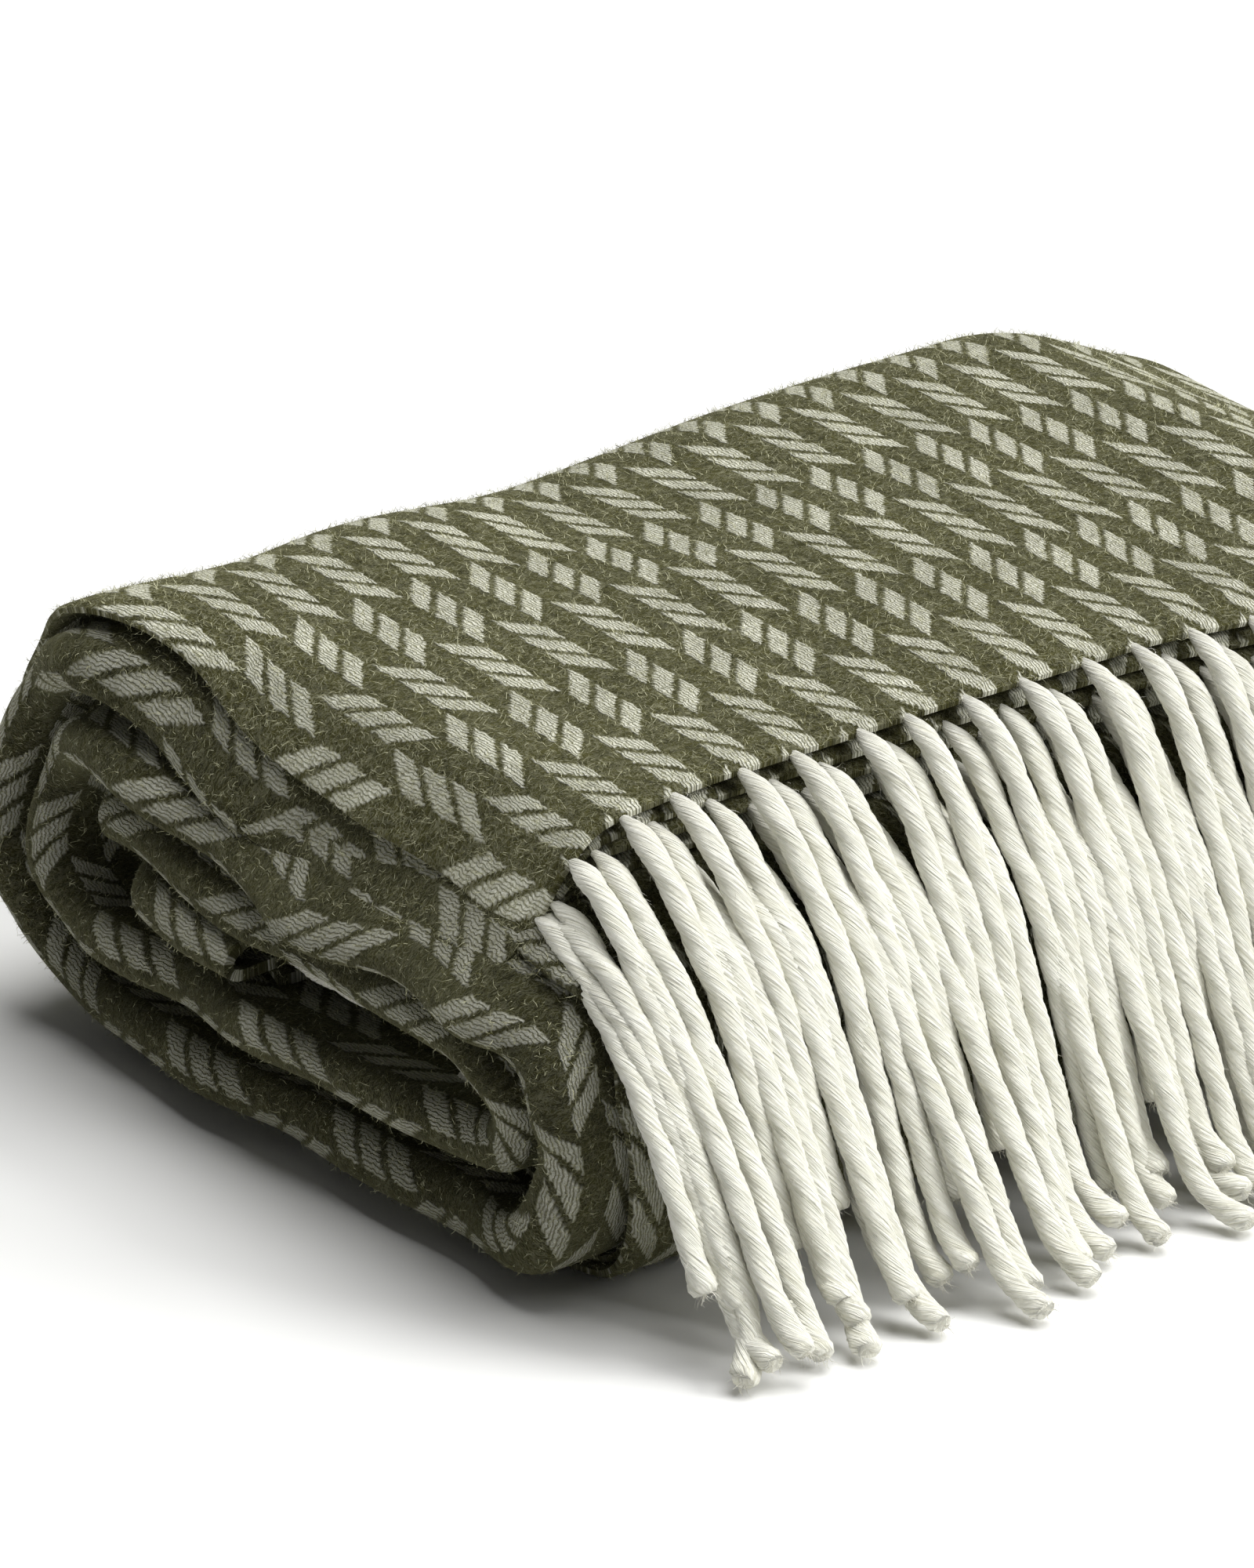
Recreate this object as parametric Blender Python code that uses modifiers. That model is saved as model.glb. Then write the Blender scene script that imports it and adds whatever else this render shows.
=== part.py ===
"""A fringed wool throw, folded to a quarter of its width and rolled flat.

Metres, +Z up. X runs along the roll, -Y is the front that the fringe hangs over, and the
origin is the middle of the face that the roll rests on. The cloth is one sheet on the real
throw. Here each flat stretch and each turn of the roll is a solid of its own.
"""

import math

import bmesh
import bpy
from mathutils import Vector

# The cloth and how it is folded
THROW_WIDTH = 1.27
PLIES = 4  # folded in half twice across its width
PLY_PITCH = 0.00475  # one ply, with the loft that keeps it off the next
ROLL_DEPTH = 0.246
LAYER_GAP = 0.0003
FLAP_GAP = 0.0006  # from the flap down to the turn that it droops over
EDGE_ROUND = 0.003
TURN_STEPS = 16
CORE_FOLD_RADIUS = 0.0015
CORE_PANEL_LENGTH = 0.060

# The front edge of the top flap lies askew, this far behind the front of the roll
EDGE_SETBACK_LEFT = 0.040
EDGE_SETBACK_RIGHT = 0.025
FLAP_CELLS = (8, 26)  # along the roll, and from the fold to the edge

# The fringe
TASSELS = 20  # on each ply's edge
TASSEL_DIAMETER = 0.006
TASSEL_LENGTH = 0.140
TASSEL_ROOT_GAP = 0.0009
TASSEL_CLEARANCE = 0.0012  # to the cloth and the floor that it lies on
TASSEL_INSET = 0.0004  # from the packet's faces to the tassels' sides, at their roots
TASSEL_POINTS = 9
ROOT_LENGTH = 0.003  # leaves the edge level before the first bend
LEAN_LEFT = math.radians(27)  # how far the tassels lean out from plumb, at each end
LEAN_RIGHT = math.radians(12)
LANDING_RADIUS = 0.014  # how tightly a tassel bends where it meets the floor
SETTLING = math.radians(12)  # how steeply a raised tassel sinks onto the turn below
STRAY_TURN = math.radians(55)  # the first lower tassel strays round the corner
ROUTE_STEP = 0.001

GREEN_WOOL = (0.085, 0.085, 0.045, 1)
CREAM_YARN = (0.80, 0.79, 0.72, 1)

ROLL_LENGTH = THROW_WIDTH / PLIES
PACKET = PLIES * PLY_PITCH
THICKNESS = PACKET - LAYER_GAP
FLAP_LEVEL = 6


def level_base(level):
    """The height of a level's underside. Level 1 rests on the floor."""
    return (level - 1) * PACKET


def level_top(level):
    return level * PACKET - LAYER_GAP


def turn_radius(low, high):
    """The outer radius of a turn that joins two levels."""
    return (level_top(high) - level_base(low)) / 2


def turn_height(low, high):
    return (level_top(high) + level_base(low)) / 2


FRONT_Y = -ROLL_DEPTH / 2
FRONT_RADIUS = turn_radius(1, 5)
FRONT_CENTRE_Y = FRONT_Y + FRONT_RADIUS
FRONT_CENTRE_Z = turn_height(1, 5)
BACK_CENTRE_Y = ROLL_DEPTH / 2 - turn_radius(1, FLAP_LEVEL)


def ahead_of_centre(y):
    """How far a place lies in front of the front turn's axis."""
    return max(FRONT_CENTRE_Y - y, 0)


def flap_underside(y):
    """The flap lies flat, then droops over the shoulder of the front turn."""
    radius = FRONT_RADIUS + FLAP_GAP
    return FRONT_CENTRE_Z + math.sqrt(radius**2 - ahead_of_centre(y) ** 2)


def flap_edge_y(x):
    along = x / ROLL_LENGTH + 0.5
    return FRONT_Y + EDGE_SETBACK_LEFT + along * (EDGE_SETBACK_RIGHT - EDGE_SETBACK_LEFT)


def clear_scene():
    for obj in list(bpy.data.objects):
        bpy.data.objects.remove(obj)


def make_material(name, colour, roughness):
    material = bpy.data.materials.new(name)
    material.use_nodes = True
    shader = material.node_tree.nodes["Principled BSDF"]
    shader.inputs["Base Color"].default_value = colour
    shader.inputs["Roughness"].default_value = roughness
    return material


def add_object(name, data, material, parent=None):
    """Puts new data in the throw's collection. A child's data is moved to its parent's origin."""
    data.materials.append(material)
    obj = bpy.data.objects.new(name, data)
    collection.objects.link(obj)
    if parent:
        obj.parent = parent
        obj.matrix_parent_inverse = parent.matrix_world.inverted()
    return obj


def add_pivot(name, place, parent=None):
    pivot = bpy.data.objects.new(name, None)
    collection.objects.link(pivot)
    pivot.location = place - (parent.location if parent else Vector())
    pivot.parent = parent
    bpy.context.view_layer.update()
    return pivot


def round_edges(obj):
    bevel = obj.modifiers.new("soft edges", "BEVEL")
    bevel.width = EDGE_ROUND
    bevel.segments = 2
    bevel.limit_method = "ANGLE"
    bevel.angle_limit = math.radians(50)


def add_panel(name, level, back_y, front_y):
    """A flat stretch of the packet, from back_y forward to front_y."""
    bm = bmesh.new()
    bmesh.ops.create_cube(bm, size=1)
    size = (ROLL_LENGTH, back_y - front_y - LAYER_GAP, THICKNESS)
    bmesh.ops.scale(bm, vec=size, verts=bm.verts)
    centre = (0, (back_y + front_y) / 2, level_base(level) + THICKNESS / 2)
    bmesh.ops.translate(bm, vec=centre, verts=bm.verts)
    mesh = bpy.data.meshes.new(name)
    bm.to_mesh(mesh)
    bm.free()
    round_edges(add_object(name, mesh, green_wool))


def add_turn(name, low, high, centre_y, backward):
    """Half a turn of the packet, round the levels between low and high."""
    outer = turn_radius(low, high)
    inner = max(outer - THICKNESS, CORE_FOLD_RADIUS)
    centre = Vector((0, centre_y, turn_height(low, high)))
    bm = bmesh.new()
    corners = [(side * ROLL_LENGTH / 2, centre_y, centre.z + reach)
               for side, reach in ((-1, inner), (1, inner), (1, outer), (-1, outer))]
    start = bm.faces.new([bm.verts.new(corner) for corner in corners])
    bmesh.ops.spin(bm, geom=[start, *start.edges, *start.verts], cent=centre, axis=(-1, 0, 0),
                   angle=math.pi if backward else -math.pi, steps=TURN_STEPS)
    bmesh.ops.recalc_face_normals(bm, faces=bm.faces)
    mesh = bpy.data.meshes.new(name)
    bm.to_mesh(mesh)
    bm.free()
    round_edges(add_object(name, mesh, green_wool))


def add_roll():
    """The packet from the bottom panel inwards, in the order that it is rolled."""
    add_turn("back_turn", 1, 6, BACK_CENTRE_Y, True)
    add_panel("bottom_panel", 1, BACK_CENTRE_Y, FRONT_CENTRE_Y)
    add_turn("front_turn", 1, 5, FRONT_CENTRE_Y, False)
    add_panel("second_turn_top", 5, BACK_CENTRE_Y, FRONT_CENTRE_Y)
    add_turn("second_turn_back", 2, 5, BACK_CENTRE_Y, True)
    add_panel("second_turn_bottom", 2, BACK_CENTRE_Y, FRONT_CENTRE_Y)
    add_turn("second_turn_front", 2, 4, FRONT_CENTRE_Y, False)
    add_panel("core_top", 4, BACK_CENTRE_Y, FRONT_CENTRE_Y)
    add_turn("core_fold", 3, 4, BACK_CENTRE_Y, True)
    core_end = BACK_CENTRE_Y - CORE_PANEL_LENGTH
    add_panel("core_bottom", 3, BACK_CENTRE_Y, core_end)
    add_panel("inner_fringe", 3, core_end, FRONT_CENTRE_Y)


def add_flap(pivot):
    """The top of the roll, which lifts at its front edge."""
    bm = bmesh.new()
    bmesh.ops.create_grid(bm, x_segments=FLAP_CELLS[0], y_segments=FLAP_CELLS[1], size=1)
    back_y = BACK_CENTRE_Y - LAYER_GAP
    for vert in bm.verts:
        x = vert.co.x * ROLL_LENGTH / 2
        back = (vert.co.y + 1) / 2
        y = flap_edge_y(x) + back * (back_y - flap_edge_y(x))
        vert.co = (x, y, flap_underside(y))
    upper = bmesh.ops.extrude_face_region(bm, geom=bm.faces[:])["geom"]
    raised = [item for item in upper if isinstance(item, bmesh.types.BMVert)]
    bmesh.ops.translate(bm, vec=(0, 0, THICKNESS), verts=raised)
    bmesh.ops.recalc_face_normals(bm, faces=bm.faces)
    mesh = bpy.data.meshes.new("top_flap")
    bm.to_mesh(mesh)
    bm.free()
    add_object("top_flap", mesh, green_wool, pivot)


def tassel_route(x, rise, stray):
    """The way a tassel takes from the flap's edge: over the front turn, down and out to the floor."""
    along = x / ROLL_LENGTH + 0.5
    steepest = math.pi / 2 - LEAN_LEFT - along * (LEAN_RIGHT - LEAN_LEFT)
    y = flap_edge_y(x)
    place = Vector((x, y - TASSEL_ROOT_GAP, flap_underside(y) + rise))
    lying = TASSEL_DIAMETER / 2 + TASSEL_CLEARANCE
    fine = [place.copy()]
    while len(fine) * ROUTE_STEP <= TASSEL_LENGTH:
        reach = Vector((ahead_of_centre(place.y), place.z - FRONT_CENTRE_Z))
        slope = math.atan2(reach.x, reach.y)
        if reach.length > FRONT_RADIUS + lying:
            slope += SETTLING
        height = max(place.z - lying, 0)
        landing = math.acos(max(1 - height / LANDING_RADIUS, 0))
        slope = min(slope, steepest, landing)
        if len(fine) * ROUTE_STEP <= ROOT_LENGTH:
            slope = 0
        heading = stray * max(1 - height / LANDING_RADIUS, 0)
        level = math.cos(slope)
        place += ROUTE_STEP * Vector(
            (-level * math.sin(heading), -level * math.cos(heading), -math.sin(slope)))
        fine.append(place.copy())
    last = len(fine) - 1
    spread = [fine[round(last * i / (TASSEL_POINTS - 1))] for i in range(1, TASSEL_POINTS)]
    return [fine[0], fine[round(ROOT_LENGTH / ROUTE_STEP)], *spread]


def add_tassel(name, route, pivot):
    curve = bpy.data.curves.new(name, "CURVE")
    curve.dimensions = "3D"
    curve.bevel_depth = TASSEL_DIAMETER / 2
    curve.bevel_resolution = 1
    curve.use_fill_caps = True
    spline = curve.splines.new("POLY")
    spline.points.add(len(route) - 1)
    for point, place in zip(spline.points, route):
        point.co = (*place, 1)
    add_object(name, curve, cream_yarn, pivot)


def add_fringe(pivot):
    """The tassels of the packet's top ply, and those of its lowest ply, in the gaps between."""
    pitch = ROLL_LENGTH / TASSELS
    low_rise = TASSEL_DIAMETER / 2 + TASSEL_INSET
    high_rise = THICKNESS - low_rise
    for i in range(TASSELS):
        lower_x = -ROLL_LENGTH / 2 + (i + 0.25) * pitch
        stray = STRAY_TURN if i == 0 else 0
        add_tassel(f"lower_tassel_{i + 1:02}", tassel_route(lower_x, low_rise, stray), pivot)
        upper_x = lower_x + pitch / 2
        add_tassel(f"upper_tassel_{i + 1:02}", tassel_route(upper_x, high_rise, 0), pivot)


clear_scene()
collection = bpy.data.collections.new("folded_throw_blanket")
bpy.context.scene.collection.children.link(collection)
green_wool = make_material("green_wool", GREEN_WOOL, 0.95)
cream_yarn = make_material("cream_yarn", CREAM_YARN, 0.85)

add_roll()
flap_pivot = add_pivot("flap_pivot", Vector((0, BACK_CENTRE_Y, level_top(FLAP_LEVEL))))
add_flap(flap_pivot)
lowest_edge = min(flap_underside(flap_edge_y(end * ROLL_LENGTH / 2)) for end in (-1, 1))
fringe_pivot = add_pivot("fringe_pivot", Vector((0, flap_edge_y(0), lowest_edge)), flap_pivot)
add_fringe(fringe_pivot)
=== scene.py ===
import math
import random

import bmesh
import bpy
import numpy as np
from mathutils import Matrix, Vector, noise


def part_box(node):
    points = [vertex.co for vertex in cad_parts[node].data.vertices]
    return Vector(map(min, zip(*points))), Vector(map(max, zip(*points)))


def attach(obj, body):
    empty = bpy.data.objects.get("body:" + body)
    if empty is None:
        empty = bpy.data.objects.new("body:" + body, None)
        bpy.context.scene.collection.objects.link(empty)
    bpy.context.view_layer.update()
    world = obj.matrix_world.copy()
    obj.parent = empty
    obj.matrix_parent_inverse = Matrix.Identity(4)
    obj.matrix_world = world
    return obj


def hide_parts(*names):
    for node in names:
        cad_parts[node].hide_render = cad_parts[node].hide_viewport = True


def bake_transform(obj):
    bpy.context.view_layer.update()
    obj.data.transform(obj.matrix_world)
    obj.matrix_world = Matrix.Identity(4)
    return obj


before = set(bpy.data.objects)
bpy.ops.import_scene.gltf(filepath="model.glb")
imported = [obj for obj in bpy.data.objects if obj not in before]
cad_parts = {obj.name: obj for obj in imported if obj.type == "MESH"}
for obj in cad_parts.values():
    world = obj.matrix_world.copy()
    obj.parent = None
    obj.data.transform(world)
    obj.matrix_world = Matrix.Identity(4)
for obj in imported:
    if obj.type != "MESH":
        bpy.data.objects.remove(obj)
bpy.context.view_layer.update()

# ---------------------------------------------------------------------------------------
# The camera. A long lens a little above the throw, looking at its left end and its fringed
# front, so close that the right end is out of the frame.
CAMERA_AZIMUTH = math.radians(-36.7)
CAMERA_HEIGHT_ANGLE = math.radians(22.0)
CAMERA_DISTANCE = 1.946
CAMERA_LENS = 186.4
CAMERA_AIM = Vector((-0.0378, 0.0336, 0.0502))

away = Vector((math.sin(CAMERA_AZIMUTH) * math.cos(CAMERA_HEIGHT_ANGLE),
               -math.cos(CAMERA_AZIMUTH) * math.cos(CAMERA_HEIGHT_ANGLE),
               math.sin(CAMERA_HEIGHT_ANGLE)))
camera_data = bpy.data.cameras.new("camera")
camera_data.lens = CAMERA_LENS
camera = bpy.data.objects.new("camera", camera_data)
bpy.context.scene.collection.objects.link(camera)
camera.location = CAMERA_AIM + CAMERA_DISTANCE * away
camera.rotation_euler = (-away).to_track_quat("-Z", "Y").to_euler()
bpy.context.scene.camera = camera


# ---------------------------------------------------------------------------------------
# The flap: the top of the roll, up to its fringed front edge. It is a packet of four plies of one woven
# wool throw, folded in half twice across its width with no seam.
def linear(hex_colour):
    """An sRGB hex colour as linear light."""
    channels = [int(hex_colour[i:i + 2], 16) / 255 for i in (1, 3, 5)]
    return tuple(c / 12.92 if c <= 0.04045 else ((c + 0.055) / 1.055) ** 2.4 for c in channels) + (1,)


def add_node(tree, kind, inputs, output=0, **settings):
    """Adds one node and gives its output. Each input is a fixed value or the output that feeds it."""
    node = tree.nodes.new("ShaderNode" + kind)
    for name, value in settings.items():
        setattr(node, name, value)
    for socket, value in inputs.items():
        if isinstance(value, bpy.types.NodeSocket):
            tree.links.new(value, node.inputs[socket])
        else:
            node.inputs[socket].default_value = value
    return node.outputs[output]


REPEAT_WIDTH = 0.015875  # across the warp, one up and one down of the herringbone
BAR_PITCH = 0.0106  # along the warp
BARS_IN_REPEAT = 6  # three cream bars, then the room of three left green
FLOAT_SHARE = 0.76  # of a bar's pitch that a cream thread floats over
BAR_SLANT = 1.08  # pitches that a bar climbs across its column
BAR_WIDTH = 0.96  # of its column
THREADS_IN_COLUMN = 10
GREEN_SHADED_HOLLOW = "#1f1e0b"
GREEN_RAISED = "#5a5831"
CREAM_SHADED_SIDE = "#c9c7a8"
CREAM_RAISED = "#fffff0"
LOOSE_HAIR = "#c3c2a6"
WOOL_SHEEN = "#d2d19c"
# How coarse each pattern in the wool is. A fibre of 0.03 mm is far too fine to show, so the
# grain and the hairs are drawn many times as coarse.
THREAD_WANDER = 1 / 420  # 2.4 mm
WANDER_REACH = 0.0016
WOOL_GRAIN = 1 / 1500  # 0.67 mm
TUFT = 1 / 300  # 3.3 mm
WORN_PATCH = 1 / 45  # 22 mm
WIDE_CURL = 1 / 380  # 2.6 mm
TIGHT_CURL = 1 / 640  # 1.6 mm
RELIEF = 0.0011


# Brushed wool, woven in a herringbone of cream bars on an olive green ground, then milled and
# raised. It has no gloss: the bars have soft edges and a pale bloom of hair lies over them.
def woven_wool():
    material = bpy.data.materials.new("brushed_wool_herringbone")
    material.use_nodes = True
    tree = material.node_tree
    shader = tree.nodes["Principled BSDF"]
    cloth = add_node(tree, "UVMap", {}, uv_map="cloth")
    # milling has moved every thread a little
    wander = add_node(tree, "TexNoise", {"Vector": cloth, "Scale": 1 / THREAD_WANDER, "Detail": 3.0}, 1,
                      noise_dimensions="2D")
    shift = add_node(tree, "VectorMath", {0: wander, 1: (0.5, 0.5, 0.5)}, operation="SUBTRACT")
    loose = add_node(tree, "VectorMath", {0: shift, "Scale": WANDER_REACH}, operation="SCALE")
    place = add_node(tree, "VectorMath", {0: cloth, 1: loose}, operation="ADD")
    across = add_node(tree, "SeparateXYZ", {0: place}, 0)
    along = add_node(tree, "SeparateXYZ", {0: place}, 1)

    # the columns of the herringbone, which slant one way and then the other
    column = add_node(tree, "Math", {0: across, 1: REPEAT_WIDTH / 2}, operation="DIVIDE")
    in_column = add_node(tree, "Math", {0: column}, operation="FRACT")
    whole_column = add_node(tree, "Math", {0: column}, operation="FLOOR")
    parity = add_node(tree, "Math", {0: whole_column, 1: 2.0}, operation="FLOORED_MODULO")
    turn = add_node(tree, "Math", {0: parity, 1: -2.0, 2: 1.0}, operation="MULTIPLY_ADD")
    from_middle = add_node(tree, "Math", {0: in_column, 1: 0.5}, operation="SUBTRACT")
    thread = add_node(tree, "Math", {0: from_middle, 1: THREADS_IN_COLUMN}, operation="MULTIPLY")
    whole_thread = add_node(tree, "Math", {0: thread}, operation="FLOOR")
    thread_middle = add_node(tree, "Math", {0: whole_thread, 1: 0.5}, operation="ADD")
    stepped = add_node(tree, "Math", {0: thread_middle, 1: THREADS_IN_COLUMN}, operation="DIVIDE")
    slanted = add_node(tree, "Math", {0: stepped, 1: turn}, operation="MULTIPLY")
    climb = add_node(tree, "Math", {0: slanted, 1: BAR_SLANT}, operation="MULTIPLY")

    # the cream bars, in groups of three that alternate from column to column
    bars = add_node(tree, "Math", {0: along, 1: BAR_PITCH}, operation="DIVIDE")
    climbed = add_node(tree, "Math", {0: bars, 1: climb}, operation="ADD")
    phase = add_node(tree, "Math", {0: parity, 1: BARS_IN_REPEAT / 2, 2: climbed},
                     operation="MULTIPLY_ADD")
    in_bar = add_node(tree, "Math", {0: phase}, operation="FRACT")
    from_float = add_node(tree, "Math", {0: in_bar, 1: FLOAT_SHARE / 2}, operation="SUBTRACT")
    off_float = add_node(tree, "Math", {0: from_float}, operation="ABSOLUTE")
    inside = add_node(tree, "Math", {0: FLOAT_SHARE / 2, 1: off_float}, operation="SUBTRACT")
    float_mask = add_node(tree, "MapRange", {0: inside, 1: -0.06, 2: 0.10},
                          interpolation_type="SMOOTHSTEP")
    whole_bar = add_node(tree, "Math", {0: phase}, operation="FLOOR")
    which = add_node(tree, "Math", {0: whole_bar, 1: BARS_IN_REPEAT}, operation="FLOORED_MODULO")
    group = add_node(tree, "Math", {0: which, 1: BARS_IN_REPEAT / 2}, operation="LESS_THAN")
    off_column = add_node(tree, "Math", {0: from_middle}, operation="ABSOLUTE")
    side = add_node(tree, "Math", {0: BAR_WIDTH / 2, 1: off_column}, operation="SUBTRACT")
    side_mask = add_node(tree, "MapRange", {0: side, 1: -0.04, 2: 0.05},
                         interpolation_type="SMOOTHSTEP")
    grouped = add_node(tree, "Math", {0: float_mask, 1: group}, operation="MULTIPLY")
    bar = add_node(tree, "Math", {0: grouped, 1: side_mask}, operation="MULTIPLY")

    # each cream thread is round, with painted shade down its sides and a dark line on either side of it
    in_thread = add_node(tree, "Math", {0: thread}, operation="FRACT")
    from_thread = add_node(tree, "Math", {0: in_thread, 1: 0.5}, operation="SUBTRACT")
    off_thread = add_node(tree, "Math", {0: from_thread}, operation="ABSOLUTE")
    roundness = add_node(tree, "MapRange", {0: off_thread, 1: 0.50, 2: 0.24},
                         interpolation_type="SMOOTHSTEP")

    # the nap: short wool, tufts of it, and worn patches
    grain = add_node(tree, "TexNoise",
                     {"Vector": cloth, "Scale": 1 / WOOL_GRAIN, "Detail": 4.0, "Roughness": 0.7},
                     noise_dimensions="2D")
    tufts = add_node(tree, "TexNoise",
                     {"Vector": cloth, "Scale": 1 / TUFT, "Detail": 5.0, "Roughness": 0.68},
                     noise_dimensions="2D")
    patches = add_node(tree, "TexNoise", {"Vector": cloth, "Scale": 1 / WORN_PATCH, "Detail": 2.0},
                       noise_dimensions="2D")
    both = add_node(tree, "Math", {0: grain, 1: tufts}, operation="ADD")
    nap = add_node(tree, "Math", {0: both, 1: 0.5}, operation="MULTIPLY")
    # the green darkens where the nap lies low, as the bump does: partly the wool's own tone, partly
    # painted shade in the nap's hollows
    green_level = add_node(tree, "MapRange", {0: nap, 1: 0.36, 2: 0.66})
    green = add_node(tree, "Mix",
                     {0: green_level, 6: linear(GREEN_SHADED_HOLLOW), 7: linear(GREEN_RAISED)}, 2,
                     data_type="RGBA")
    # the cream darkens from each thread's middle to its sides, a painted shade, and varies with the wool's
    # grain
    grain_level = add_node(tree, "MapRange", {0: grain, 1: 0.2, 2: 0.58})
    cream_level = add_node(tree, "Math", {0: roundness, 1: grain_level}, operation="MULTIPLY")
    cream = add_node(tree, "Mix",
                     {0: cream_level, 6: linear(CREAM_SHADED_SIDE), 7: linear(CREAM_RAISED)}, 2,
                     data_type="RGBA")
    veil = add_node(tree, "MapRange", {0: tufts, 1: 0.55, 2: 0.85, 3: 1.0, 4: 0.6})
    thin_threads = add_node(tree, "Math", {0: roundness, 1: 0.35, 2: 0.65}, operation="MULTIPLY_ADD")
    threaded = add_node(tree, "Math", {0: bar, 1: thin_threads}, operation="MULTIPLY")
    veiled = add_node(tree, "Math", {0: threaded, 1: veil}, operation="MULTIPLY")
    woven = add_node(tree, "Mix", {0: veiled, 6: green, 7: cream}, 2, data_type="RGBA")

    # loose hairs curl over the cloth, at two scales
    hairs = []
    for curl, share in ((WIDE_CURL, 0.040), (TIGHT_CURL, 0.055)):
        field = add_node(tree, "TexNoise",
                         {"Vector": cloth, "Scale": 1 / curl, "Detail": 2.0, "Distortion": 0.8},
                         noise_dimensions="2D")
        from_ridge = add_node(tree, "Math", {0: field, 1: 0.5}, operation="SUBTRACT")
        off_ridge = add_node(tree, "Math", {0: from_ridge}, operation="ABSOLUTE")
        hairs.append(add_node(tree, "MapRange", {0: off_ridge, 1: share, 2: 0.0, 3: 0.0, 4: 0.55}))
    hair = add_node(tree, "Math", {0: hairs[0], 1: hairs[1]}, operation="MAXIMUM")
    patchy_hair = add_node(tree, "Math", {0: hair, 1: tufts}, operation="MULTIPLY")
    haired = add_node(tree, "Mix", {0: patchy_hair, 6: woven, 7: linear(LOOSE_HAIR)}, 2,
                      data_type="RGBA")
    worn = add_node(tree, "MapRange", {0: patches, 1: 0.3, 2: 0.7, 3: 0.88, 4: 1.12})
    # painted shade: towards the roll's left end the cloth's colour is darkened, where the end face lies in
    # shadow; the top ply is left out
    shade = add_node(tree, "Attribute", {}, 2, attribute_name="shade")
    open_share = add_node(tree, "Math", {0: 1.0, 1: shade}, operation="SUBTRACT")
    level = add_node(tree, "Math", {0: worn, 1: open_share}, operation="MULTIPLY")
    colour = add_node(tree, "VectorMath", {0: haired, "Scale": level}, operation="SCALE")
    tree.links.new(colour, shader.inputs["Base Color"])

    thread_relief = add_node(tree, "Math", {0: roundness, 1: 0.7, 2: 0.3}, operation="MULTIPLY_ADD")
    lifted = add_node(tree, "Math", {0: veiled, 1: thread_relief}, operation="MULTIPLY")
    surface = add_node(tree, "Math", {0: lifted, 1: 0.8, 2: nap}, operation="MULTIPLY_ADD")
    relief = add_node(tree, "Math", {0: patchy_hair, 1: 0.5, 2: surface}, operation="MULTIPLY_ADD")
    bump = add_node(tree, "Bump", {"Strength": 0.95, "Distance": RELIEF, "Height": relief})
    tree.links.new(bump, shader.inputs["Normal"])
    shader.inputs["Roughness"].default_value = 0.95
    shader.inputs["Specular IOR Level"].default_value = 0.15
    shader.inputs["Sheen Weight"].default_value = 0.35
    shader.inputs["Sheen Roughness"].default_value = 0.4
    shader.inputs["Sheen Tint"].default_value = linear(WOOL_SHEEN)
    return material


wool = woven_wool()

# The packet is rolled from one fringed end to the other. PACKET is its thickness.
roll_low, roll_high = (Vector(corner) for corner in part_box("bottom_panel"))
LEFT, RIGHT = roll_low.x, roll_high.x
ROLL_LENGTH = RIGHT - LEFT
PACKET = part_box("second_turn_bottom")[0][2]
PLY = PACKET / 4
BACK_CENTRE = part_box("back_turn")[0][1]
FRONT_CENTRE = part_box("front_turn")[1][1]
TOP = 6 * PACKET
flap_corners = [vert.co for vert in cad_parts["top_flap"].data.vertices]
EDGE_LEFT = min(co.y for co in flap_corners if co.x < LEFT + 0.001)
EDGE_RIGHT = min(co.y for co in flap_corners if co.x > RIGHT - 0.001)
FRONT_RADIUS = 2.5 * PACKET
FRONT_MIDDLE = FRONT_RADIUS  # its height over the floor
CLOTH_THICKNESS = 0.0028


def edge_y(x):
    """Where the fringed edge of the top flap lies."""
    return EDGE_LEFT + (EDGE_RIGHT - EDGE_LEFT) * (x - LEFT) / ROLL_LENGTH


# Each stretch of the roll, from the flap inwards, with where it starts and ends along the
# cloth. A flat has the height of its outer face in packets and the way that face looks, up
# or down, and a turn has the two heights that it joins.
FLAT_RUN = BACK_CENTRE - FRONT_CENTRE
BEFORE_EDGE = -1.0  # anywhere in front of the fringed edge
reach = BACK_CENTRE
STRETCHES = [("flat", BEFORE_EDGE, reach, 6, 1)]
for high, low, backward in ((6, 0, True), (5, 0, False), (5, 1, True), (4, 1, False), (4, 2, True)):
    turn_length = math.pi * ((high - low) * PACKET / 2 - PLY / 2)
    STRETCHES.append(("back" if backward else "front", reach, reach + turn_length, high, low))
    reach += turn_length
    level = low if backward else high
    STRETCHES.append(("flat", reach, reach + FLAT_RUN, level, -1 if backward else 1))
    reach += FLAT_RUN
TURN_END = STRETCHES[1][2]
CORE_END = STRETCHES[-1][1] + 0.060
HOLLOW_AT = STRETCHES[-1][1] - 0.015  # the core fold stands back from the left end


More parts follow.
